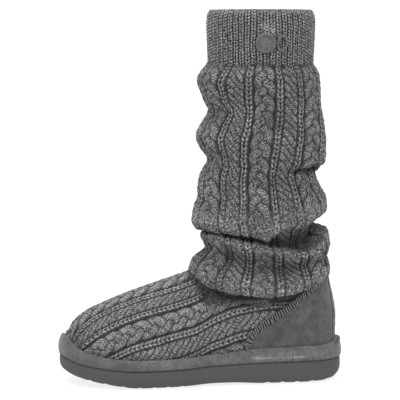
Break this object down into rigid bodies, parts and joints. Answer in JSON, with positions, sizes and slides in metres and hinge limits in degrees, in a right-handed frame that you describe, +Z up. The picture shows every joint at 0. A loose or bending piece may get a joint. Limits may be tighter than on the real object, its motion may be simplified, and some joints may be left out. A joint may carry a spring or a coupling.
{
  "type": "knit slouch boot",
  "caption": "Left slouch boot with a cable-knit upper, ribbed cuff, suede heel counter, suede-wrapped band and moulded sole.",
  "frame": {"origin": "On the floor under the centre of the boot's bounding box, which is the middle of the sole's length.", "axes": "+Z is up the shaft. The toe points to -X and the heel to +X. The outer side of the foot is -Y and the inner side is +Y."},
  "size_m": [0.27, 0.1084, 0.35],
  "materials": {
    "rubber_sole": "matte",
    "band_suede": "matte",
    "counter_suede": "matte",
    "knit": "matte",
    "fleece": "matte",
    "cuff_trim": "satin"
  },
  "bodies": {
    "root": {"outsole": "rubber_sole", "midsole_band": "band_suede", "insole": "fleece", "upper": "knit", "heel_counter": "counter_suede", "button": "cuff_trim", "button_loop": "cuff_trim"}
  },
  "joints": []
}
